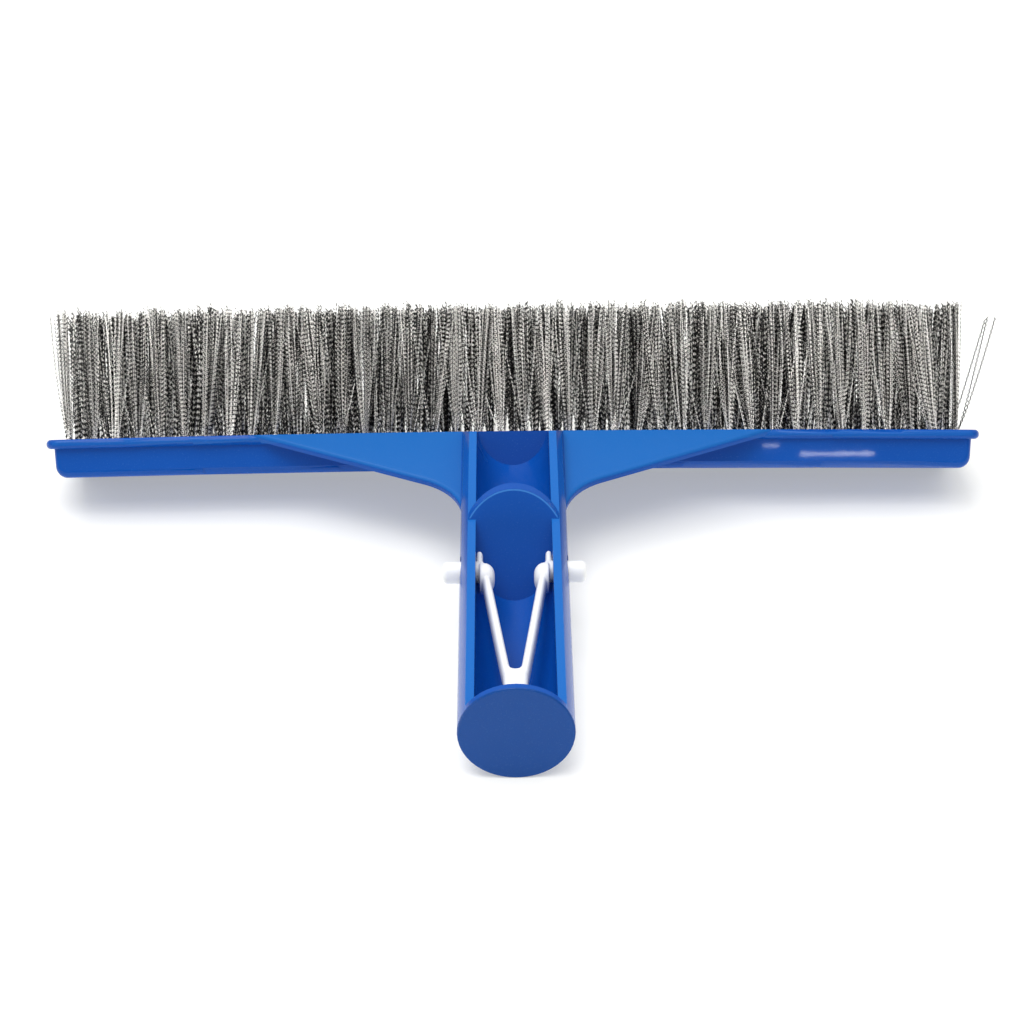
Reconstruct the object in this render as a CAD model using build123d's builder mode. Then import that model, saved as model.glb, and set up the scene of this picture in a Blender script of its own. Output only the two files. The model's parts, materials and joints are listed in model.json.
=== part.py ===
from build123d import *

import os
from math import asin, atan2, cos, hypot, radians, sin, sqrt, tan

# A pool wall brush: rows of wire tufts in a plastic block, and a sloping half-tube spigot that
# slides into a telescopic pole and is held there by the two buttons of a springy V clip.
# All sizes are in millimetres. The brush lies as it is put down, on the far lower edge of its
# block and on the lower edge of the spigot's end disc. +X runs along the block, +Z is up and the
# spigot points to -Y. The origin is at the middle of the base of the whole brush's box.

# Block: its top is the tuft face, and its far side is the one away from the spigot
block_length = 262.0
block_width = 36.0
block_height = 11.0
block_end_inset = 0.8  # each end leans in this much from top to bottom
block_end_radius = 3.4  # lower corners, seen from the spigot's side
block_edge_fillet = 2.0
block_bow = 1.1  # how far the ends of the block drop behind its middle
rim_overhang = 2.0
rim_thickness = 2.7
rim_corner = 4.0
rim_fillet = 1.2

# Spigot: a half tube, open along its top. Distances along it start at the rim's near edge.
spigot_slope = 34.2  # degrees below the tuft face
spigot_length = 128.5
spigot_radius = 14.2
rail_height = 7.5  # flat top of the side walls, above the spigot's axis
channel_radius = 10.0
channel_floor = 10.2
recess_back = 2.6  # the recess behind the bulkhead cuts this far into the block at its sides
recess_sag = 1.2  # and this much further in the middle
bulkhead_distance = 45.4  # its far face, in front of the rim
bulkhead_thickness = 2.2
disc_thickness = 1.9
disc_fillet = 0.4

# Wings: flat gussets level with the spigot's axis
wing_root = 27.9  # where the straight free edge would meet the spigot's side
wing_edge_angle = 24.9  # degrees between the free edge and the block
wing_sweep_radius = 18.0
wing_reach = 92.0  # from the spigot's side to the wing's far tip, cut off by the tuft face
wing_thickness = 2.0
wing_edge_fillet = 1.2
wing_overlap = 0.3  # how far a wing starts inside the spigot's round side

# Tufts of wire, folded over anchors at the bottom of blind holes, in staggered rows
row_count = 5
row_pitch = 6.75
tufts_in_long_row = 40
tuft_pitch = 6.5
tuft_height = 36.0
tuft_radius = 1.2
tuft_tip_radius = 2.6
tuft_hole_radius = 1.3
tuft_hole_depth = 8.0
anchor_width = 2.3
anchor_thickness = 0.4
anchor_height = 1.6

# V clip: a stem held at the end disc, and two arms with a button each
clip_depth = 5.0
arm_width = 2.65
arm_reach = 7.85  # from the middle plane to an arm's middle at its button
hinge_distance = 107.5
hinge_offset = 2.2
button_distance = 65.4
button_reach = 18.8  # from the middle plane to a button's end
button_radius = 2.8
button_root_radius = 3.05
button_edge_fillet = 1.0
boss_radius = 3.6
boss_inner = 5.4
boss_outer = 9.0
tab_reach = 59.5  # the tab's tip, along the spigot
tab_width = 1.7
tab_depth = 3.5
tab_offset = 8.8
stem_width = 6.0
stem_flare = 7.0
stem_top = 108.9
tongue_width = 3.6
tongue_depth = 2.4
tongue_length = 0.9
saddle_width = 5.0
saddle_length = 13.0

# Clearances
moving_gap = 0.3
seat_gap = 0.1
button_slot_travel = 1.6  # a button swings this far towards the block as it goes in

rim_length = block_length + 2 * rim_overhang
rim_width = block_width + 2 * rim_overhang
slope = radians(spigot_slope)
bow_radius = ((rim_length / 2) ** 2 + block_bow**2) / (2 * block_bow)
disc_inner = spigot_length - disc_thickness


def bow_drop(x):
    """How far the bowed tuft face lies below its middle at this place along the block."""
    return bow_radius - sqrt(bow_radius**2 - x**2)


def in_profile(along, above):
    """A point of the spigot's side profile as (away from the spigot, above the tuft face)."""
    return -along * cos(slope) - above * sin(slope), -along * sin(slope) + above * cos(slope)


# Rest position. In the side profile both feet are round edges, and the table touches each from
# below, which gives the tilt of the block and the height of the tuft face.
disc_foot = in_profile(spigot_length - disc_fillet, disc_fillet - spigot_radius)
foot_reach = block_length / 2 - block_end_inset - block_end_radius
block_foot = (
    rim_overhang + block_width - block_edge_fillet,
    block_edge_fillet - block_height - bow_drop(foot_reach),
)
foot_span = (block_foot[0] - disc_foot[0], block_foot[1] - disc_foot[1])
tilt = atan2(foot_span[1], foot_span[0]) - asin(
    (block_edge_fillet - disc_fillet) / hypot(*foot_span)
)
dip = slope - tilt  # how far the spigot slopes down at rest


def at_rest(away, above):
    """(Y, Z) of a point of the side profile in the rest position, from the rim's near edge."""
    return away * cos(tilt) + above * sin(tilt), above * cos(tilt) - away * sin(tilt)


first_row = (rim_width - (row_count - 1) * row_pitch) / 2
last_row = first_row + (row_count - 1) * row_pitch
disc_top = in_profile(spigot_length - disc_fillet, spigot_radius - disc_fillet)
near_end = at_rest(*disc_top)[0] - disc_fillet
far_end = at_rest(last_row + tuft_tip_radius, tuft_height)[0]
datum = Vector(0, -(near_end + far_end) / 2, disc_fillet - at_rest(*disc_foot)[1])

# Directions of the block and the spigot, and the planes that the sketches lie in
away_dir = Vector(0, cos(tilt), -sin(tilt))
bristle_dir = Vector(0, sin(tilt), cos(tilt))
axis_dir = Vector(0, -cos(dip), -sin(dip))
open_dir = Vector(0, -sin(dip), cos(dip))
face_plane = Plane(origin=datum, x_dir=(1, 0, 0), z_dir=bristle_dir)
front_plane = Plane(origin=datum, x_dir=(1, 0, 0), z_dir=-away_dir)
section_plane = Plane(origin=datum, x_dir=(1, 0, 0), z_dir=axis_dir)
clip_plane = Plane(origin=datum, x_dir=axis_dir, z_dir=open_dir)  # local axes: along, X
button_plane = Plane(
    origin=datum + axis_dir * button_distance, x_dir=axis_dir, z_dir=(1, 0, 0)
)
bristle_axis = Axis(datum, bristle_dir)
open_axis = Axis(datum, open_dir)

MARGIN = 1.0  # how far cutting shapes stand clear of what they cut
SEAM_UP = Location((0, 0, 0), (0, 0, 90))  # puts a circle's seam at its top


def bowed_profile(plane, top, bottom, top_half, bottom_half, end_radius):
    """A sketch between two arcs parallel to the bowed face, seen from the spigot's side."""
    ends_up, ends_low = bow_drop(top_half) + top, bow_drop(bottom_half) + bottom
    with BuildSketch(plane) as profile:
        with BuildLine():
            upper = ThreePointArc((-top_half, -ends_up), (0, -top), (top_half, -ends_up))
            lower = ThreePointArc((-bottom_half, -ends_low), (0, -bottom), (bottom_half, -ends_low))
            Line(upper @ 0, lower @ 0)
            Line(upper @ 1, lower @ 1)
        make_face()
        if end_radius:
            fillet(profile.vertices().group_by(Axis.Y)[0], radius=end_radius)
    return profile.sketch


def make_block():
    """The block, which narrows a little towards its rounded lower edges."""
    half = block_length / 2
    near = front_plane.offset(-rim_overhang)
    with BuildPart() as block:
        outline = bowed_profile(
            near, 0, block_height, half, half - block_end_inset, block_end_radius
        )
        extrude(outline, amount=block_width, dir=away_dir)
        sides = block.faces().filter_by(Axis(datum, away_dir)).edges()
        fillet(sides - block.edges().group_by(bristle_axis)[-1], radius=block_edge_fillet)
    return block


def make_rim():
    """The lip round the tuft face, rounded all over its outer side."""
    half = rim_length / 2
    with BuildPart() as rim:
        outline = bowed_profile(front_plane, 0, rim_thickness, half, half, 0)
        extrude(outline, amount=rim_width, dir=away_dir)
        fillet(rim.edges().filter_by(bristle_axis), radius=rim_corner)
        bowed = rim.faces().filter_by(GeomType.CYLINDER).sort_by(SortBy.AREA)[-2:]
        fillet(bowed.edges(), radius=rim_fillet)
    return rim


def make_above_face():
    """Everything above the tuft face, which trims the wings and the spigot."""
    reach = rim_length / 2
    with BuildPart() as above:
        outline = bowed_profile(
            front_plane.offset(spigot_length), -3 * spigot_radius, 0, reach, reach, 0
        )
        extrude(outline, amount=2 * spigot_length, dir=away_dir)
    return above


def make_wings():
    """Both wings, each a plate whose top is level with the spigot's axis."""
    outer = spigot_radius - wing_overlap
    foot = (wing_root + wing_sweep_radius, outer)
    start = wing_root - wing_reach * tan(radians(wing_edge_angle))
    tip = (start, outer + wing_reach)
    with BuildPart() as wings:
        with BuildSketch(clip_plane):
            with BuildLine():
                FilletPolyline(tip, (wing_root, outer), foot, radius=wing_sweep_radius)
                Polyline(foot, (foot[0], channel_radius), (start, channel_radius), tip)
            make_face()
        extrude(amount=-wing_thickness)
        top_edges = wings.edges().group_by(open_axis)[-1]
        slanted = top_edges.filter_by(lambda edge: 0.05 < abs(edge.tangent_at(0).X) < 0.99)
        fillet(slanted, radius=wing_edge_fillet)
        mirror(about=Plane.YZ)
    return wings


def make_spigot():
    """The half tube with its flat rail tops and end disc, before its channel is cut."""
    with BuildPart() as spigot:
        with BuildSketch(section_plane.offset(spigot_length)):
            with Locations(SEAM_UP):
                Circle(spigot_radius)
        extrude(amount=-(spigot_length + 2 * spigot_radius))
        fillet(spigot.edges().sort_by(Axis(datum, axis_dir))[-1], radius=disc_fillet)
        with BuildSketch(section_plane.offset(disc_inner)):
            with Locations((0, rail_height + spigot_radius)):
                Rectangle(3 * spigot_radius, 2 * spigot_radius)
        extrude(amount=-(disc_inner + 3 * spigot_radius), mode=Mode.SUBTRACT)
    return spigot


def make_recess_limit():
    """Everything on the spigot's side of the recess's dished back wall."""
    half = spigot_radius
    with BuildPart() as limit:
        with BuildSketch(face_plane.offset(2 * spigot_radius)):
            with BuildLine():
                ThreePointArc((-half, recess_back), (0, recess_back + recess_sag), (half, recess_back))
                Polyline(
                    (half, recess_back),
                    (half, -spigot_length),
                    (-half, -spigot_length),
                    (-half, recess_back),
                )
            make_face()
        extrude(amount=-(spigot_length + 2 * spigot_radius))
    return limit


def make_channel():
    """The space in the spigot: a round floor and upright walls that reach above the rails."""
    with BuildPart() as channel:
        with BuildSketch(section_plane.offset(disc_inner)):
            Ellipse(channel_radius, channel_floor)
            with Locations((0, spigot_radius)):
                Rectangle(2 * channel_radius, 2 * spigot_radius)
        extrude(amount=-(disc_inner + spigot_length))
        add(make_recess_limit().part, mode=Mode.INTERSECT)
    return channel


def make_bulkhead():
    """A cross wall square to the tuft face, with the spigot's own round outline."""
    with BuildPart() as bulkhead:
        with BuildSketch(section_plane):
            with Locations(SEAM_UP):
                Circle(spigot_radius)
        extrude(amount=disc_inner)
        with BuildSketch(front_plane.offset(bulkhead_distance)):
            with Locations((0, -bulkhead_distance)):
                Rectangle(3 * spigot_radius, 2 * spigot_length)
        extrude(amount=bulkhead_thickness, mode=Mode.INTERSECT)
    return bulkhead


def make_button_slots():
    """The slots in both side walls, longer towards the block, where a button swings as it goes in."""
    half = button_root_radius + moving_gap
    with BuildPart() as slots:
        with BuildSketch(button_plane):
            with Locations((-button_slot_travel / 2, 0)):
                SlotOverall(2 * half + button_slot_travel, 2 * half)
        extrude(amount=2 * spigot_radius, both=True)
    return slots


def make_saddle():
    """A rib on the channel floor that the clip's stem lies on."""
    top = clip_depth / 2 + seat_gap
    with BuildPart() as saddle:
        with BuildSketch(clip_plane.offset(-top)):
            with Locations((disc_inner - saddle_length / 2, 0)):
                Rectangle(saddle_length, saddle_width)
        extrude(amount=top - channel_floor - MARGIN)
    return saddle


def make_tongue(gap, length):
    """The stem's tongue, or with a gap the pocket for it in the end disc's inner face."""
    with BuildPart() as tongue:
        with BuildSketch(section_plane.offset(disc_inner - MARGIN)):
            Rectangle(tongue_width + 2 * gap, tongue_depth + 2 * gap)
        extrude(amount=length + MARGIN)
    return tongue


def tuft_places(row):
    """Where one row's tufts stand on the bowed face, in the block's own axes."""
    count = tufts_in_long_row - row % 2
    first = -(count - 1) / 2 * tuft_pitch
    spots = [first + i * tuft_pitch for i in range(count)]
    return [(x, first_row + row * row_pitch, -bow_drop(x)) for x in spots]


def make_tuft_holes():
    """Blind holes for all the tufts, standing clear of the face they are cut into."""
    with BuildPart(face_plane) as holes:
        for row in range(row_count):
            with Locations(*tuft_places(row)):
                Cylinder(tuft_hole_radius, 2 * tuft_hole_depth)
    return holes


def make_brush_body():
    """The one-piece moulding: block, rim, wings and spigot."""
    with BuildPart() as body:
        add(make_block().part)
        add(make_rim().part)
        add(make_wings().part)
        add(make_spigot().part)
        add(make_above_face().part, mode=Mode.SUBTRACT)
        add(make_channel().part, mode=Mode.SUBTRACT)
        add(make_bulkhead().part)
        add(make_saddle().part)
        add(make_tongue(seat_gap, tongue_length + seat_gap).part, mode=Mode.SUBTRACT)
        add(make_button_slots().part, mode=Mode.SUBTRACT)
        add(make_tuft_holes().part, mode=Mode.SUBTRACT)
    return body


def make_clip_stem():
    """The clip's fixed part, with a hollow for each arm's round root at its top."""
    socket_radius = arm_width / 2 + moving_gap
    with BuildPart() as stem:
        with BuildSketch(clip_plane.offset(-clip_depth / 2)):
            with BuildLine():
                Polyline(
                    (hinge_distance, stem_flare / 2),
                    (hinge_distance + arm_width, stem_flare / 2),
                    (hinge_distance + 2 * arm_width, stem_width / 2),
                    (disc_inner - seat_gap, stem_width / 2),
                    (disc_inner - seat_gap, -stem_width / 2),
                    (hinge_distance + 2 * arm_width, -stem_width / 2),
                    (hinge_distance + arm_width, -stem_flare / 2),
                    (hinge_distance, -stem_flare / 2),
                    close=True,
                )
            make_face()
            with Locations((hinge_distance, hinge_offset), (hinge_distance, -hinge_offset)):
                Circle(socket_radius, mode=Mode.SUBTRACT)
            with Locations((hinge_distance, 0)):
                Rectangle(2 * (stem_top - hinge_distance), stem_flare, mode=Mode.SUBTRACT)
        extrude(amount=clip_depth)
        add(make_tongue(0, tongue_length).part)
    return stem


def make_right_clip_arm():
    """The arm on the +X side: its bar, boss, button and tab."""
    with BuildPart() as arm:
        with BuildSketch(clip_plane.offset(-clip_depth / 2)):
            with BuildLine():
                spine = Line((hinge_distance, hinge_offset), (button_distance, arm_reach))
            trace(spine, line_width=arm_width)
            with Locations(spine @ 0):
                Circle(arm_width / 2)
        extrude(amount=clip_depth)
        tab_length = button_distance - tab_reach
        with BuildSketch(clip_plane.offset(clip_depth / 2)):
            with Locations((button_distance - tab_length / 2, tab_offset)):
                SlotOverall(tab_length, tab_width)
        extrude(amount=-tab_depth)
        with BuildSketch(button_plane.offset(boss_inner)):
            Circle(boss_radius)
        extrude(amount=boss_outer - boss_inner)
        with BuildSketch(button_plane.offset(boss_outer)):
            Circle(button_root_radius)
        extrude(amount=spigot_radius - boss_outer)
        with BuildSketch(button_plane.offset(spigot_radius)):
            Circle(button_radius)
        extrude(amount=button_reach - spigot_radius)
        fillet(arm.edges().sort_by(Axis.X)[-1], radius=button_edge_fillet)
    return arm


def make_left_clip_arm():
    """The same arm on the -X side."""
    with BuildPart() as arm:
        mirror(make_right_clip_arm().part, about=Plane.YZ)
    return arm


def make_tuft_row(row):
    """One row of tufts, each straight in its hole and splayed above the face."""
    rooted = tuft_hole_depth - anchor_height - seat_gap
    with BuildPart(face_plane) as tufts:
        with Locations(*tuft_places(row)):
            Cylinder(tuft_radius, rooted, align=(Align.CENTER, Align.CENTER, Align.MAX))
            Cone(
                tuft_radius,
                tuft_tip_radius,
                tuft_height,
                align=(Align.CENTER, Align.CENTER, Align.MIN),
            )
    return tufts


def make_tuft_anchors(row):
    """The flat anchors at the bottom of one row's holes, which the tufts are folded over."""
    with BuildPart(face_plane.offset(-tuft_hole_depth)) as anchors:
        with Locations(*tuft_places(row)):
            Box(
                anchor_width,
                anchor_thickness,
                anchor_height,
                align=(Align.CENTER, Align.CENTER, Align.MIN),
            )
    return anchors


def save(piece, label):
    """Label a finished sub-part and write its STEP file."""
    piece.part.label = label
    export_step(piece.part, f"parts/{label}.step")


os.makedirs("parts", exist_ok=True)
save(make_brush_body(), "brush_body")
save(make_clip_stem(), "v_clip_stem")
save(make_right_clip_arm(), "right_clip_arm")
save(make_left_clip_arm(), "left_clip_arm")
for row in range(row_count):
    save(make_tuft_row(row), f"tuft_row_{row + 1}")
    save(make_tuft_anchors(row), f"tuft_anchors_{row + 1}")
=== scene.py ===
import json
import math

import bmesh
import bpy
import numpy as np
from mathutils import Matrix, Vector

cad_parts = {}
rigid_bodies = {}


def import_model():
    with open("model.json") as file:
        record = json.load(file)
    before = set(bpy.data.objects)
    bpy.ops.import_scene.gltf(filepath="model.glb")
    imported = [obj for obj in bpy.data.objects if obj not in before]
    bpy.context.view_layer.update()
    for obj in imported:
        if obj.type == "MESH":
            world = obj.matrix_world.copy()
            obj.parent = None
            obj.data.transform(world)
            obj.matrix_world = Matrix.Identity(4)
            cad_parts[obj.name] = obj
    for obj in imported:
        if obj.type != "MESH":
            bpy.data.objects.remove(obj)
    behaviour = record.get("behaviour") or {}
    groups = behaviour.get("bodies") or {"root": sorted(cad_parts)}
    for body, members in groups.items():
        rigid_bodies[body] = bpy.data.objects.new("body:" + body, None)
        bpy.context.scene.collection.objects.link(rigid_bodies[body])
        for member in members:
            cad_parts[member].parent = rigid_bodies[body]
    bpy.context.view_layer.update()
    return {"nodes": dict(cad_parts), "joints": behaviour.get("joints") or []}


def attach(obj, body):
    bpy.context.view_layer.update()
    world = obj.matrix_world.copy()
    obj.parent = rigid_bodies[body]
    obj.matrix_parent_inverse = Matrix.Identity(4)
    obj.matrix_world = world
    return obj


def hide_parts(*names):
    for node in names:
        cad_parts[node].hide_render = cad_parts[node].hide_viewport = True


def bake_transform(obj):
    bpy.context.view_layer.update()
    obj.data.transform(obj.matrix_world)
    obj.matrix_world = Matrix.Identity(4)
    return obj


# The looks of a pool wall brush: a one-piece blue moulding, its white V clip, and rows of crimped wire.
# Lengths are in metres, in the frame's own axes. Everything is placed from one datum, where the spigot's
# axis meets the block's tuft face. Along the spigot, s runs from the block to the end disc and h rises out
# of its open top. On the block, a place is x, the distance away from the spigot, and the height above the
# tuft face.

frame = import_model()
rng = np.random.default_rng(7)

MM = 0.001
X = Vector((1, 0, 0))
HINGE_S = 107.5 * MM
SLOPE = math.radians(34.2)

joints = {j["name"]: j for j in frame["joints"]}
hinge_right = Vector(joints["right_arm_bend"]["pos_m"])
hinge_left = Vector(joints["left_arm_bend"]["pos_m"])
OPEN = Vector(joints["right_arm_bend"]["axis"]).normalized()
ALONG = X.cross(OPEN)
DATUM = (hinge_right + hinge_left) / 2 - ALONG * HINGE_S

# SLOPE is the angle between the spigot and the tuft face, and TILT is how far the face leans from level.
TILT = SLOPE - math.atan2(-OPEN.y, OPEN.z)
AWAY = Vector((0, math.cos(TILT), -math.sin(TILT)))
UP_FACE = Vector((0, math.sin(TILT), math.cos(TILT)))

SPIGOT_RADIUS = 14.2 * MM
RAIL_H = 7.5 * MM
RAIL_INNER = 9.8 * MM
DISC_S = 128.0 * MM


def on_spigot(s, x, h):
    """The point at s along the spigot, x to the right of its axis and h above it."""
    return DATUM + ALONG * s + X * x + OPEN * h


# ---------------------------------------------------------------- materials


class Nodes:
    """A short way to write a node material."""

    def __init__(self, name):
        self.material = bpy.data.materials.new(name)
        self.material.use_nodes = True
        self.tree = self.material.node_tree
        self.tree.nodes.clear()
        self.out = self.node("ShaderNodeOutputMaterial")
        self.shader = self.node("ShaderNodeBsdfPrincipled")
        self.link(self.shader.outputs[0], self.out.inputs[0])

    def node(self, kind, **values):
        made = self.tree.nodes.new(kind)
        for key, value in values.items():
            setattr(made, key, value)
        return made

    def link(self, a, b):
        self.tree.links.new(a, b)

    def put(self, socket, value):
        """Link the value to the socket if it is another node's output, or set it if it is a constant."""
        if hasattr(value, "is_output"):
            self.link(value, socket)
        elif value is not None:
            socket.default_value = value

    def position(self):
        return self.node("ShaderNodeTexCoord").outputs["Object"]

    def math(self, operation, a, b=None, c=None, clamp=False):
        made = self.node("ShaderNodeMath", operation=operation, use_clamp=clamp)
        for socket, value in zip(made.inputs, (a, b, c)):
            self.put(socket, value)
        return made.outputs[0]

    def vector(self, operation, a, b=None):
        made = self.node("ShaderNodeVectorMath", operation=operation)
        self.put(made.inputs[0], a)
        self.put(made.inputs[1], b)
        return made.outputs["Value" if operation in ("DOT_PRODUCT", "LENGTH") else "Vector"]

    def step(self, value, low, high):
        """A smooth step from 0 at low to 1 at high; low may be the larger of the two."""
        made = self.node("ShaderNodeMapRange", interpolation_type="SMOOTHSTEP")
        for socket, v in zip(made.inputs, (value, low, high)):
            self.put(socket, v)
        return made.outputs[0]

    def all_of(self, first, *others):
        """The product of several masks."""
        for other in others:
            first = self.math("MULTIPLY", first, other)
        return first

    def noise(self, vector, scale, detail=2.0, rough=0.5):
        made = self.node("ShaderNodeTexNoise")
        self.put(made.inputs["Vector"], vector)
        made.inputs["Scale"].default_value = scale
        made.inputs["Detail"].default_value = detail
        made.inputs["Roughness"].default_value = rough
        return made.outputs[0]

    def mix(self, factor, a, b):
        """A mix of two colours."""
        made = self.node("ShaderNodeMix", data_type="RGBA")
        self.put(made.inputs[0], factor)
        self.put(made.inputs[6], a)
        self.put(made.inputs[7], b)
        return made.outputs[2]

    def blend(self, factor, a, b):
        """A mix of two numbers."""
        made = self.node("ShaderNodeMix", data_type="FLOAT")
        self.put(made.inputs[0], factor)
        self.put(made.inputs[2], a)
        self.put(made.inputs[3], b)
        return made.outputs[0]

    def bump(self, height, distance, strength):
        made = self.node("ShaderNodeBump")
        made.inputs["Strength"].default_value = strength
        made.inputs["Distance"].default_value = distance
        self.put(made.inputs["Height"], height)
        return made.outputs[0]


def rgb(*levels):
    """A linear colour from 8-bit sRGB values."""
    linear = [((v / 255 + 0.055) / 1.055) ** 2.4 if v > 10 else v / 255 / 12.92 for v in levels]
    return (*linear, 1.0)


BLUE_CLOUD_LOW = (0.0012, 0.070, 0.37, 1)
BLUE_CLOUD_HIGH = (0.0025, 0.084, 0.43, 1)
BLUE_RIM = (0.004, 0.1, 0.43, 1)
BLUE_WING = (0.005, 0.125, 0.45, 1)
BLUE_RAIL_PAINTED_LIGHT = (0.004, 0.13, 0.49, 1)
BLUE_PAINTED_HIGHLIGHT = (0.05, 0.24, 0.66, 1)
BLUE_DISC_PAINTED_SHADE = (0.003, 0.062, 0.29, 1)
BLUE_SPECK = (0.2, 0.45, 0.85, 1)


def blue_plastic():
    """Moulded blue plastic: matte and paler on the wings, smooth and shiny on the block's sides, with a
    painted highlight on the bulkhead's edge, painted light on the rails' tops and painted shade on the
    spigot's end face.
    """
    m = Nodes("blue_plastic")
    p = m.position()
    local = m.vector("SUBTRACT", p, tuple(DATUM))
    x = m.math("ABSOLUTE", m.vector("DOT_PRODUCT", local, (1, 0, 0)))
    h = m.vector("DOT_PRODUCT", local, tuple(OPEN))
    above = m.vector("DOT_PRODUCT", local, tuple(UP_FACE))
    away = m.vector("DOT_PRODUCT", local, tuple(AWAY))
    along = m.vector("DOT_PRODUCT", local, tuple(ALONG))
    radius = m.vector("LENGTH", m.vector("SUBTRACT", local, m.vector("MULTIPLY", along, tuple(ALONG))))

    # Masks for the parts of the moulding that differ in tint or gloss; the tints of the rails' tops, the
    # bulkhead's edge and the end disc are painted light and shade.
    beside_spigot = m.step(x, SPIGOT_RADIUS, SPIGOT_RADIUS + 0.4 * MM)
    wing = m.all_of(m.step(h, -0.9 * MM, -0.3 * MM), beside_spigot)
    side = m.all_of(m.step(above, -2.2 * MM, -2.9 * MM), m.step(away, 0.5 * MM, 1.5 * MM))
    rim = m.all_of(
        m.step(above, -2.9 * MM, -2.6 * MM),
        m.step(away, 0.5 * MM, 0.2 * MM),
        beside_spigot,
    )
    # Painted light: the rails' tops are tinted lighter, where light from above falls on them.
    rail_top_painted_light = m.all_of(
        m.step(h, RAIL_H - 0.2 * MM, RAIL_H - 0.05 * MM),
        m.step(h, RAIL_H + 0.2 * MM, RAIL_H + 0.05 * MM),
        m.step(x, RAIL_INNER, RAIL_INNER + 0.15 * MM),
    )
    # Painted highlight: a lighter line along the bulkhead's rounded top edge.
    bulkhead_painted_highlight = m.all_of(
        m.step(radius, SPIGOT_RADIUS - 0.5 * MM, SPIGOT_RADIUS - 0.35 * MM),
        m.step(radius, SPIGOT_RADIUS - 0.03 * MM, SPIGOT_RADIUS - 0.1 * MM),
        m.step(h, RAIL_H + 0.05 * MM, RAIL_H + 0.7 * MM),
        m.step(along, DISC_S - 1 * MM, DISC_S - 2 * MM),
    )
    # Painted shade: the end disc is tinted darker than the rest of the moulding.
    disc_painted_shade = m.step(along, DISC_S - 0.1 * MM, DISC_S + 0.2 * MM)

    cloud = m.noise(p, 45, 3)
    grain = m.noise(p, 2400, 2, 0.6)
    specks = m.step(grain, 0.56, 0.78)
    tint = m.mix(cloud, BLUE_CLOUD_LOW, BLUE_CLOUD_HIGH)
    tint = m.mix(rim, tint, BLUE_RIM)
    tint = m.mix(wing, tint, BLUE_WING)
    tint = m.mix(rail_top_painted_light, tint, BLUE_RAIL_PAINTED_LIGHT)
    tint = m.mix(m.math("MULTIPLY", bulkhead_painted_highlight, 0.8), tint, BLUE_PAINTED_HIGHLIGHT)
    tint = m.mix(disc_painted_shade, tint, BLUE_DISC_PAINTED_SHADE)
    tint = m.mix(m.math("MULTIPLY", specks, 0.06), tint, BLUE_SPECK)
    m.put(m.shader.inputs["Base Color"], tint)

    matte = m.math("MULTIPLY_ADD", grain, 0.2, 0.36)
    gloss = m.math("MULTIPLY_ADD", cloud, 0.1, 0.2)
    shiny = m.math("MULTIPLY_ADD", m.noise(p, 220, 2), 0.02, 0.016)
    m.put(m.shader.inputs["Roughness"], m.blend(wing, m.blend(side, gloss, shiny), matte))
    textured = m.blend(side, m.math("MULTIPLY_ADD", wing, 0.75, 0.2), 0.0)
    ripple = m.math("MULTIPLY", m.noise(p, 260, 1), m.math("MULTIPLY", side, 0.1))
    height = m.math("ADD", m.math("MULTIPLY", grain, textured), ripple)
    m.put(m.shader.inputs["Normal"], m.bump(height, 0.04 * MM, 0.5))
    m.shader.inputs["Specular IOR Level"].default_value = 0.2
    return m.material


def white_plastic():
    m = Nodes("white_plastic")
    p = m.position()
    cloud = m.noise(p, 180, 3)
    m.put(m.shader.inputs["Base Color"], m.mix(cloud, rgb(243, 244, 245), rgb(252, 253, 253)))
    m.put(m.shader.inputs["Roughness"], m.math("MULTIPLY_ADD", m.noise(p, 900, 2), 0.16, 0.26))
    m.put(m.shader.inputs["Normal"], m.bump(m.noise(p, 700, 2), 0.04 * MM, 0.4))
    m.shader.inputs["IOR"].default_value = 1.48
    return m.material


def steel_wire():
    """Steel shaded by each wire's own shade and by painted light and shade, light on one side of each
    zigzag and dark on the other.
    """
    m = Nodes("steel_wire")
    p = m.position()
    shade = m.node("ShaderNodeAttribute", attribute_name="shade").outputs["Fac"]
    # Painted light and shade: the second attribute is light on one side of each wire's zigzag and dark on
    # the other.
    painted_crimp_light = m.node("ShaderNodeAttribute", attribute_name="painted_crimp_light").outputs["Fac"]
    along = m.noise(p, 500, 2)
    tone_and_painted_light = m.math("MULTIPLY_ADD", m.math("SUBTRACT", shade, 0.5), 0.8, painted_crimp_light)
    tone_and_painted_light = m.math("MULTIPLY_ADD", m.math("SUBTRACT", along, 0.5), 0.6, tone_and_painted_light, clamp=True)
    tone_and_painted_light = m.step(tone_and_painted_light, 0.3, 0.8)
    m.put(m.shader.inputs["Base Color"], m.mix(tone_and_painted_light, rgb(14, 13, 12), rgb(255, 252, 247)))
    m.shader.inputs["Metallic"].default_value = 1.0
    m.put(m.shader.inputs["Roughness"], m.math("MULTIPLY_ADD", along, 0.2, 0.25))
    return m.material


def anchor_metal():
    m = Nodes("anchor_metal")
    p = m.position()
    m.put(m.shader.inputs["Base Color"], m.mix(m.noise(p, 800), rgb(150, 150, 150), rgb(190, 190, 188)))
    m.put(m.shader.inputs["Roughness"], m.math("MULTIPLY_ADD", m.noise(p, 2000), 0.2, 0.25))
    m.shader.inputs["Metallic"].default_value = 1.0
    return m.material


def pale_floor():
    m = Nodes("pale_floor")
    white = m.mix(m.noise(m.position(), 2), (0.59, 0.59, 0.585, 1), (0.6, 0.6, 0.595, 1))
    m.put(m.shader.inputs["Base Color"], white)
    m.shader.inputs["Emission Color"].default_value = (0.6, 0.597, 0.54, 1)
    m.shader.inputs["Emission Strength"].default_value = 0.62
    m.shader.inputs["Roughness"].default_value = 0.7
    m.shader.inputs["Specular IOR Level"].default_value = 0.2
    return m.material


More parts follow.
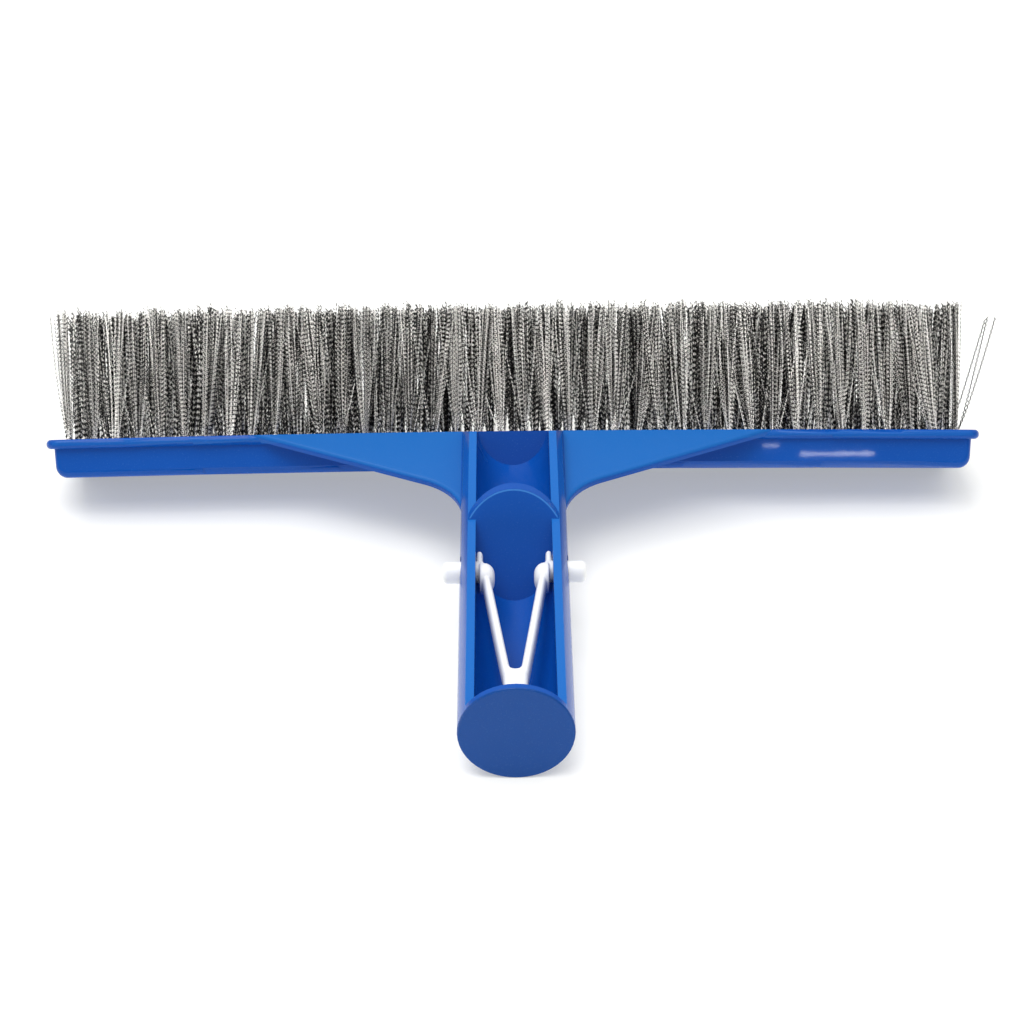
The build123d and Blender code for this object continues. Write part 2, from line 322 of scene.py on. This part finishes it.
def wear(obj, material):
    obj.data.materials.clear()
    obj.data.materials.append(material)


BLUE, WHITE, WIRE, METAL = blue_plastic(), white_plastic(), steel_wire(), anchor_metal()
for name, node in frame["nodes"].items():
    if name == "brush_body":
        wear(node, BLUE)
    elif name.startswith("tuft_row"):
        wear(node, WIRE)
    elif name.startswith("tuft_anchors"):
        wear(node, METAL)
    else:
        wear(node, WHITE)


# ---------------------------------------------------------------- V clip


def mesh_object(name, mesh, material):
    obj = bpy.data.objects.new(name, mesh)
    bpy.context.scene.collection.objects.link(obj)
    wear(obj, material)
    return obj


def loft(bm, rings, power=2.0, count=40):
    """A closed skin through superelliptic rings (centre, u, v, half width along u, half width along v)."""
    loops = []
    for centre, u, v, a, b in rings:
        loop = []
        for i in range(count):
            angle = 2 * math.pi * i / count
            c, s = math.cos(angle), math.sin(angle)
            px = math.copysign(abs(c) ** (2 / power), c) * a
            py = math.copysign(abs(s) ** (2 / power), s) * b
            loop.append(bm.verts.new(centre + u * px + v * py))
        loops.append(loop)
    for low, high in zip(loops, loops[1:]):
        for i in range(count):
            j = (i + 1) % count
            bm.faces.new((low[i], low[j], high[j], high[i]))
    bm.faces.new(reversed(loops[0]))
    bm.faces.new(loops[-1])


ROUND_STEPS = 5


def rounded(length, a, b, start_round, end_round):
    """Stations (place, scale of a, scale of b) along a bar whose ends are rounded by these lengths."""
    quarter = [math.pi / 2 * i / ROUND_STEPS for i in range(ROUND_STEPS + 1)]
    first = [(start_round * (1 - math.cos(q)), start_round * (1 - math.sin(q))) for q in quarter]
    last = [(length - end_round * (1 - math.sin(q)), end_round * (1 - math.cos(q))) for q in quarter]
    return [(place, max(1 - inset / a, 0.02), max(1 - inset / b, 0.02)) for place, inset in first + last]


def bar(bm, start, end, u, v, a, b, ends, power=2.0):
    """A bar from start to end, half widths a along u and b along v, with rounded ends."""
    direction = (end - start).normalized()
    rings = []
    for place, sa, sb in rounded((end - start).length, a, b, *ends):
        rings.append((start + direction * place, u, v, a * sa, b * sb))
    loft(bm, rings, power)


BUTTON_S = 65.4 * MM
BUTTON_RADIUS = 2.86 * MM
BUTTON_FROM, BUTTON_TO = 8.0 * MM, 18.8 * MM
BUTTON_ROUNDS = (0.3 * MM, 1.3 * MM)

BOSS_S_OFFSET, BOSS_DROP = 2.2 * MM, 0.3 * MM
BOSS_FROM, BOSS_TO = 5.1 * MM, 9.0 * MM
BOSS_HALF_LENGTH, BOSS_HALF_HEIGHT = 4.0 * MM, 3.9 * MM
BOSS_ROUNDS = (2.9 * MM, 0.3 * MM)

TAB_X, TAB_H = 9.05 * MM, 0.7 * MM
TAB_FROM_S, TAB_TO_S = BUTTON_S + 0.5 * MM, 59.2 * MM
TAB_HALF_WIDTH, TAB_HALF_HEIGHT = 0.88 * MM, 1.9 * MM
TAB_ROUNDS = (0.3 * MM, 0.9 * MM)

CROTCH_S = 104.7 * MM
CROTCH_RADIUS = 2.7 * MM
CROTCH_STEPS = 20
CROTCH_DEPTH = 5.5 * MM
STEM_SPREAD = 0.144

ARM_TOP = 7.85 * MM
ARM_TIP_S = BUTTON_S + 0.6 * MM
ARM_TIP_ROUND = 1.3 * MM
ARM_HALF = 1.24 * MM
ARM_DEPTH = 2.6 * MM


def clip_head(bm, side):
    """The top of one arm of the clip with its boss, button and tab; side is 1 or -1."""
    out = X * side
    button = on_spigot(BUTTON_S, 0, 0)
    boss = button + ALONG * BOSS_S_OFFSET - OPEN * BOSS_DROP
    inner, outer = boss + out * BOSS_FROM, boss + out * BOSS_TO
    bar(bm, inner, outer, ALONG, OPEN, BOSS_HALF_LENGTH, BOSS_HALF_HEIGHT, BOSS_ROUNDS, 2.2)
    root, tip = button + out * BUTTON_FROM, button + out * BUTTON_TO
    bar(bm, root, tip, ALONG, OPEN, BUTTON_RADIUS, BUTTON_RADIUS, BUTTON_ROUNDS)
    tab_low = on_spigot(TAB_FROM_S, side * TAB_X, TAB_H)
    tab_high = on_spigot(TAB_TO_S, side * TAB_X, TAB_H)
    bar(bm, tab_low, tab_high, X, OPEN, TAB_HALF_WIDTH, TAB_HALF_HEIGHT, TAB_ROUNDS, 2.4)


def clip_bow(bm):
    """Both arms and the rounded bottom between them, swept as one bar from tip to tip."""
    reach = CROTCH_S - ARM_TIP_S
    lean = math.atan2(ARM_TOP, reach) - math.asin(CROTCH_RADIUS / math.hypot(ARM_TOP, reach))
    straight = math.sqrt(ARM_TOP**2 + reach**2 - CROTCH_RADIUS**2)

    # Each station is its angle about the crotch, its distance up the arm, and two scales of the section.
    tip = rounded(straight, ARM_HALF, ARM_DEPTH, ARM_TIP_ROUND, 0)[:ROUND_STEPS + 1]
    arm = [(lean, straight - place, sa, sb) for place, sa, sb in tip]
    arm += [(lean, straight * share, 1, 1) for share in (0.75, 0.5, 0.25)]
    turn = math.pi - 2 * lean
    bottom = [(lean + turn * i / CROTCH_STEPS, 0, 1, 1) for i in range(CROTCH_STEPS + 1)]
    other_arm = [(math.pi - angle, *rest) for angle, *rest in reversed(arm)]

    rings = []
    for angle, distance, sa, sb in arm + bottom + other_arm:
        outward = X * math.cos(angle) + ALONG * math.sin(angle)
        forward = X * math.sin(angle) - ALONG * math.cos(angle)
        if angle > math.pi / 2:
            forward = -forward
        inner = CROTCH_RADIUS - ARM_HALF
        outer = CROTCH_RADIUS + ARM_HALF
        if distance == 0:
            # The outer line runs straight on from each arm, until CROTCH_DEPTH cuts it off inside the stem.
            outer = min(outer / (abs(math.cos(angle)) + STEM_SPREAD * math.sin(angle)), CROTCH_DEPTH)
        centre = on_spigot(CROTCH_S, 0, 0) + outward * (inner + outer) / 2 + forward * distance
        rings.append((centre, outward, OPEN, (outer - inner) / 2 * sa, ARM_DEPTH * sb))
    loft(bm, rings, 2.5)


CLIP_VOXEL = 0.16 * MM
CLIP_SMOOTHING = 9


def remeshed(bm, name, voxel, smooth):
    """The union of all the shapes in bm as one smooth skin."""
    raw = bpy.data.meshes.new(name)
    bm.to_mesh(raw)
    bm.free()
    obj = bpy.data.objects.new(name, raw)
    bpy.context.scene.collection.objects.link(obj)
    skin = obj.modifiers.new("union", "REMESH")
    skin.mode = "VOXEL"
    skin.voxel_size = voxel
    relax = obj.modifiers.new("relax", "SMOOTH")
    relax.factor, relax.iterations = 0.5, smooth
    evaluated = obj.evaluated_get(bpy.context.evaluated_depsgraph_get())
    made = bpy.data.meshes.new_from_object(evaluated)
    bpy.data.objects.remove(obj)
    return made


# The stem's stations: place along the spigot, half width and half height, in millimetres.
STEM = (
    (107.6, 2.2, 2.3),
    (108.3, 3.1, 2.5),
    (109.5, 3.25, 2.55),
    (111.0, 3.1, 2.5),
    (126.4, 3.0, 2.5),
)


def build_clip():
    """The whole clip as one skin, cut down the middle into one half for each arm."""
    bm = bmesh.new()
    for side in (1, -1):
        clip_head(bm, side)
    clip_bow(bm)
    loft(bm, [(on_spigot(s * MM, 0, 0), X, OPEN, a * MM, b * MM) for s, a, b in STEM], 3.4)
    whole = remeshed(bm, "v_clip", CLIP_VOXEL, CLIP_SMOOTHING)
    for side, body, arm in ((1, "right_arm", "right_clip_arm"), (-1, "left_arm", "left_clip_arm")):
        half = bmesh.new()
        half.from_mesh(whole)
        cut = bmesh.ops.bisect_plane(
            half,
            geom=half.verts[:] + half.edges[:] + half.faces[:],
            plane_co=(0, 0, 0),
            plane_no=X * -side,
            clear_outer=True,
        )
        edges = [e for e in cut["geom_cut"] if isinstance(e, bmesh.types.BMEdge)]
        bmesh.ops.holes_fill(half, edges=edges)
        mesh = bpy.data.meshes.new(f"v_clip_{body}")
        half.to_mesh(mesh)
        half.free()
        mesh.shade_smooth()
        piece = mesh_object(f"v_clip_{body}", mesh, WHITE)
        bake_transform(piece)
        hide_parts(arm, "v_clip_stem")


build_clip()


# ---------------------------------------------------------------- wire tufts

# The rows of tufts and the gentle bow of the block's face, which falls by BOW at the ends of its rim.
ROW_COUNT = 5
ROW_PITCH = 6.75 * MM
FIRST_ROW = 6.5 * MM
LONG_ROW = 40
TUFT_PITCH = 6.5 * MM
HALF_RIM = 133.0 * MM
BOW = 1.1 * MM
BOW_RADIUS = (HALF_RIM**2 + BOW**2) / (2 * BOW)
WIRE_HEIGHT = 35.3 * MM
ROOT_DEPTH = 2.0 * MM
CRIMP_ONSET = 2 * MM

# How freely the wires of a tuft stand: the sway of each wire, the size of its crimp, the radius of the
# strands' circle and of one strand, the tuft's own lean along x and away, and a few wires that go astray.
WIRE_SWAY = 0.45 * MM
CRIMP_MIN, CRIMP_MAX = 0.17 * MM, 0.28 * MM
STRAND_COUNT = 3
STRAND_CIRCLE = 0.62 * MM
STRAND_RADIUS = 0.5 * MM
TUFT_LEAN = np.array([2.1, 1.1]) * MM
STRAY_SHARE = 0.2
STRAY_REACH = 3.6 * MM
TIP_SCATTER = 0.4 * MM
WIRE_LENGTH_SCATTER = 0.6 * MM
TUFT_LENGTH_SCATTER = 0.3 * MM
CHEVRON_SLOPE = 1.5

# Outer rows show their wires' crimp; inner rows have fewer and thicker wires, darkened by painted shade
# where the outer rows would shade them.
OUTER_ROWS = (0, ROW_COUNT - 1)
OUTER_KIND = {"wires": 34, "half_period": 0.58 * MM, "radius": 0.14 * MM, "parts": 5, "tone_and_painted_light": 1.0}
INNER_KIND = {"wires": 18, "half_period": 0.8 * MM, "radius": 0.19 * MM, "parts": 3, "tone_and_painted_light": 0.85}
TUFT_SPREAD = 3.6

# Wire ends beyond the last tufts are drawn in, from FAN_FROM to FAN_TO, so that the rows end evenly.
FAN_FROM = np.array([-140, -127, 0, 126, 140]) * MM
FAN_TO = np.array([-134, -127, 0, 126, 129.5]) * MM


def bow_drop(x):
    """How far the tuft face lies below its middle at x."""
    return BOW_RADIUS - math.sqrt(BOW_RADIUS**2 - x * x)


def tuft_places(row):
    """Each tuft's x and its distance away from the spigot; every other row has one tuft less."""
    count = LONG_ROW - row % 2
    return [((i - (count - 1) / 2) * TUFT_PITCH, FIRST_ROW + row * ROW_PITCH) for i in range(count)]


def crimped(start, end, height, half_period, wires, crimp_turn, shift=0.0):
    """Zigzag centrelines (wire, point, 3) from start to end, with painted light and shade on the two sides
    of the zigzag.

    A centreline's points are (x, away, above), and it starts in its hole, below the face.
    """
    points = int(WIRE_HEIGHT / half_period) + 4
    steps = np.arange(points)
    share = steps[None, :] / (points - 1) + 0 * height[:, None]
    up = share * (height[:, None] + ROOT_DEPTH) - ROOT_DEPTH
    bend = np.clip(up / WIRE_HEIGHT, 0, 1.1)
    sway = rng.normal(0, WIRE_SWAY, wires)[:, None] * np.sin(np.pi * bend)
    sway_away = rng.normal(0, WIRE_SWAY, wires)[:, None] * np.sin(np.pi * bend)
    grown = bend**0.85
    px = start[0][:, None] + (end[0] - start[0])[:, None] * grown + sway
    pa = start[1][:, None] + (end[1] - start[1])[:, None] * grown + sway_away
    shift = shift + rng.normal(0, 0.2, wires) * half_period
    up = up + shift[:, None] * np.clip((up + ROOT_DEPTH) / CRIMP_ONSET, 0, 1)
    zig = np.where(steps % 2 == 0, 1.0, -1.0)[None, :] * rng.choice([1, 1, 1, -1], wires)[:, None]
    growth = np.clip((up + ROOT_DEPTH) / CRIMP_ONSET, 0.1, 1)
    size = rng.uniform(CRIMP_MIN, CRIMP_MAX, wires)[:, None] * growth
    turn = crimp_turn + rng.normal(0, 0.45, wires)
    px = px + zig * size * np.cos(turn)[:, None]
    pa = pa + zig * size * np.sin(turn)[:, None]
    # Painted light and shade: the points on one side of the zigzag are light and those on the other dark.
    light = np.clip(0.5 + zig * 0.5 + rng.normal(0, 0.12, zig.shape), 0, 1)
    return np.stack([px, pa, up], axis=-1), light


def wire_tuft(x, away, wires, half_period, spread):
    """A tuft of three strands: its wires' centrelines, the painted light and shade along each, and each
    one's own shade.

    Each strand's crimps are in step, and shifted by their distance from its middle into chevrons.
    """
    lean = rng.normal(0, 1, 2) * TUFT_LEAN
    first = rng.uniform(0, 2 * np.pi)
    strand = np.arange(wires) % STRAND_COUNT
    strand_angle = first + strand * 2 * np.pi / STRAND_COUNT + rng.normal(0, 0.3, STRAND_COUNT)[strand]
    strand_x, strand_away = np.cos(strand_angle) * STRAND_CIRCLE, np.sin(strand_angle) * STRAND_CIRCLE
    angle = rng.uniform(0, 2 * np.pi, wires)
    inner = np.sqrt(rng.uniform(0.02, 1, wires)) * STRAND_RADIUS
    in_x, in_away = np.cos(angle) * inner, np.sin(angle) * inner
    reach = spread * rng.uniform(0.75, 1.25, STRAND_COUNT)[strand]
    fan = rng.uniform(1.6, 2.6, wires)
    stray = np.where(rng.uniform(0, 1, wires) < STRAY_SHARE, rng.normal(0, STRAY_REACH, wires), 0)
    start = (x + strand_x + in_x, away + strand_away + in_away)
    end = (
        x + strand_x * reach + in_x * fan + lean[0] + stray,
        away + strand_away * reach + in_away * fan + lean[1] + rng.normal(0, TIP_SCATTER, wires),
    )
    end = (np.interp(end[0], FAN_FROM, FAN_TO), end[1])
    height = WIRE_HEIGHT + rng.normal(0, WIRE_LENGTH_SCATTER, wires) + rng.normal(0, TUFT_LENGTH_SCATTER)
    phase = rng.uniform(-1, 1, STRAND_COUNT)[strand] * half_period
    slope = rng.choice([-CHEVRON_SLOPE, CHEVRON_SLOPE], STRAND_COUNT)[strand]
    chevron = phase + np.abs(in_x) * slope
    lines, light = crimped(start, end, height, half_period, wires, rng.normal(0, 0.4), chevron)
    lines[:, :, 2] -= bow_drop(x)
    return lines, light, rng.beta(0.8, 0.9, wires)


def wire_mesh(name, lines, light, shades, radius):
    """Thin closed three-sided tubes along the centrelines, which all have the same number of points.

    The attribute shade carries each wire's own shade to the material, and a second attribute the painted
    light and shade along it.
    """
    basis = np.array([X, AWAY, UP_FACE])
    centre = lines @ basis + np.array(DATUM)
    wires, points, _ = centre.shape
    angles = np.array([math.pi / 2, math.pi * 7 / 6, math.pi * 11 / 6])
    offsets = np.stack([np.cos(angles), -np.sin(angles), np.zeros(3)], axis=-1) * radius @ basis
    vertices = (centre[:, :, None, :] + offsets[None, None]).reshape(-1, 3)
    first = np.arange(wires)[:, None, None] * points * 3 + np.arange(points - 1)[None, :, None] * 3
    side = np.arange(3)[None, None, :]
    a, b = first + side, first + (side + 1) % 3
    quads = np.stack([a, b, b + 3, a + 3], axis=-1).reshape(-1, 4)
    top = np.arange(wires)[:, None] * points * 3 + (points - 1) * 3 + np.array([0, 1, 2])
    bottom = np.arange(wires)[:, None] * points * 3 + np.array([2, 1, 0])
    caps = np.concatenate([top, bottom])
    mesh = bpy.data.meshes.new(name)
    mesh.vertices.add(len(vertices))
    mesh.vertices.foreach_set("co", vertices.ravel())
    mesh.loops.add(quads.size + caps.size)
    mesh.loops.foreach_set("vertex_index", np.concatenate([quads.ravel(), caps.ravel()]))
    mesh.polygons.add(len(quads) + len(caps))
    starts = np.concatenate([np.arange(len(quads)) * 4, quads.size + np.arange(len(caps)) * 3])
    mesh.polygons.foreach_set("loop_start", starts)
    mesh.update(calc_edges=True)
    mesh.shade_smooth()
    shade = mesh.attributes.new("shade", "FLOAT", "POINT")
    shade.data.foreach_set("value", np.repeat(shades, points * 3).astype(np.float32))
    # Painted light and shade along each wire, light and dark by turns on the sides of its zigzag.
    painted_crimp_light = mesh.attributes.new("painted_crimp_light", "FLOAT", "POINT")
    painted_crimp_light.data.foreach_set("value", np.repeat(light.ravel(), 3).astype(np.float32))
    return mesh


def wire_piece(name, tufts, radius, *rows):
    """One object from several tufts' wires, in place of the plain tufts of these rows."""
    mesh = wire_mesh(name, *(np.concatenate(part) for part in zip(*tufts)), radius)
    piece = mesh_object(name, mesh, WIRE)
    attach(piece, "head")
    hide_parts(*(f"tuft_row_{row + 1}" for row in rows))


def build_row(row):
    """A row of tufts, in a few pieces from left to right."""
    kind = OUTER_KIND if row in OUTER_ROWS else INNER_KIND
    places = tuft_places(row)
    parts = kind["parts"]
    for part in range(parts):
        group = places[part * len(places) // parts:(part + 1) * len(places) // parts]
        tufts = []
        for x, away in group:
            lines, light, shades = wire_tuft(x, away, kind["wires"], kind["half_period"], TUFT_SPREAD)
            # Painted shade: the inner rows' factor darkens their painted light and their wires' own shade.
            tufts.append((lines, light * kind["tone_and_painted_light"], shades * kind["tone_and_painted_light"]))
        wire_piece(f"wires_{row + 1}_{part + 1}", tufts, kind["radius"], row)


# The bent wires: side, reach past the tuft, reach away from the spigot, height (in millimetres) and row.
BENT_WIRES = (
    (1, 12.2, 2.0, 32.0, 0),
    (1, 10.2, 4.0, 32.5, 0),
    (1, 12.6, 5.0, 32.5, 2),
    (1, 3.6, 3.0, 34.0, 1),
    (-1, 2.6, 3.0, 34.0, 0),
    (-1, 2.0, 5.0, 33.5, 2),
    (-1, 3.2, 1.0, 32.0, 1),
)
BENT_HALF_PERIOD = 0.68 * MM
BENT_RADIUS = 0.19 * MM
BENT_ROOT_X = 0.8 * MM
# BENT_TONE scales the painted light along the bent wires down to almost nothing, so that they show dark.
BENT_TONE = 0.05


def build_strays():
    """A few wires bent outwards at both ends of the block."""
    tufts = []
    for side, reach, back, height, row in BENT_WIRES:
        x, away = tuft_places(row)[-1 if side > 0 else 0]
        start = (np.array([x + side * BENT_ROOT_X]), np.array([away]))
        end = (start[0] + side * reach * MM, start[1] + back * MM)
        lines, light = crimped(start, end, np.array([height * MM]), BENT_HALF_PERIOD, 1, 0.0)
        lines[:, :, 2] -= bow_drop(x)
        tufts.append((lines, light * BENT_TONE, np.array([0.0])))
    wire_piece("wires_bent", tufts, BENT_RADIUS, 0, ROW_COUNT - 1)


build_strays()
for row in range(ROW_COUNT):
    build_row(row)


# ---------------------------------------------------------------- floor, light and camera

bpy.ops.mesh.primitive_plane_add(size=12, location=(0, 0, 0))
floor = bpy.context.active_object
floor.name = "floor"
wear(floor, pale_floor())

# The world is a vertical gradient, darker at the horizon than overhead.
world = bpy.data.worlds.new("studio")
world.use_nodes = True
sky = world.node_tree.nodes
background = sky["Background"]
ramp = sky.new("ShaderNodeMapRange")
split = sky.new("ShaderNodeSeparateXYZ")
where = sky.new("ShaderNodeTexCoord")
world.node_tree.links.new(where.outputs["Generated"], split.inputs[0])
world.node_tree.links.new(split.outputs["Z"], ramp.inputs[0])
world.node_tree.links.new(ramp.outputs[0], background.inputs[0])
ramp.inputs["From Min"].default_value = 0.0
ramp.inputs["From Max"].default_value = 0.75
ramp.inputs["To Min"].default_value = 0.3
ramp.inputs["To Max"].default_value = 0.85
background.inputs["Strength"].default_value = 1.0
bpy.context.scene.world = world

CAMERA_DISTANCE = 649 * MM
CAMERA_X = -0.43 * MM
CAMERA_PITCH = math.radians(2.03)
CAMERA_ROLL = math.radians(-0.64)
CAMERA_LENS = 80.4
CAMERA_SENSOR = 36


def area_light(name, place, target, size, power):
    light = bpy.data.lights.new(name, "AREA")
    light.shape = "RECTANGLE"
    light.size, light.size_y = size
    light.energy = power
    obj = bpy.data.objects.new(name, light)
    obj.location = place
    obj.rotation_mode = "QUATERNION"
    obj.rotation_quaternion = (Vector(target) - Vector(place)).to_track_quat("-Z", "Y")
    bpy.context.scene.collection.objects.link(obj)
    return obj


def glint(name, x_from, x_to, above, tall, power):
    """A small light, as far back as the camera, that shows as a streak on the block's glossy side.

    The streak runs from x_from to x_to, in millimetres. The light lies twice as far out as the streak,
    because the camera and the light are equally far from the side that mirrors it.
    """
    middle = (x_from + x_to) * MM
    place = DATUM - AWAY * CAMERA_DISTANCE + X * middle + UP_FACE * 2 * above * MM
    area_light(name, place, place + AWAY, (2 * (x_to - x_from) * MM, 2 * tall * MM), power)


def light_only(light, name, pieces):
    """Let a light reach these pieces and nothing else."""
    group = bpy.data.collections.new(name)
    for piece in pieces:
        group.objects.link(piece)
    light.light_linking.receiver_collection = group


area_light("key", place=(-0.25, 0.02, 1.2), target=(0, 0, 0), size=(1.1, 0.8), power=10.5)

wires = [piece for piece in bpy.context.scene.objects if piece.name.startswith("wires_")]
front = area_light("front", place=(0.1, -0.75, 0.75), target=(0, 0.05, 0.03), size=(0.9, 0.35), power=8.6)
light_only(front, "lit_from_the_front", wires)
fill = area_light("floor_fill", place=(0.05, -0.6, 1.1), target=(0, -0.05, 0), size=(0.8, 0.5), power=7)
light_only(fill, "lit_floor", [floor])

glint("long_streak", x_from=82, x_to=103, above=-7.5, tall=0.75, power=0.005)
glint("short_streak", x_from=71.5, x_to=76, above=-5.0, tall=0.9, power=0.0008)

camera = bpy.data.objects.new("camera", bpy.data.cameras.new("camera"))
camera.data.lens = CAMERA_LENS
camera.data.sensor_width = CAMERA_SENSOR
camera.data.dof.use_dof = False
bpy.context.scene.collection.objects.link(camera)
camera.location = DATUM - AWAY * CAMERA_DISTANCE + X * CAMERA_X
pitch = math.pi / 2 - (TILT + CAMERA_PITCH)
camera.matrix_world = (
    Matrix.Translation(camera.location)
    @ Matrix.Rotation(pitch, 4, "X")
    @ Matrix.Rotation(CAMERA_ROLL, 4, "Z")
)
bpy.context.scene.camera = camera
bpy.context.scene.view_settings.view_transform = "Standard"
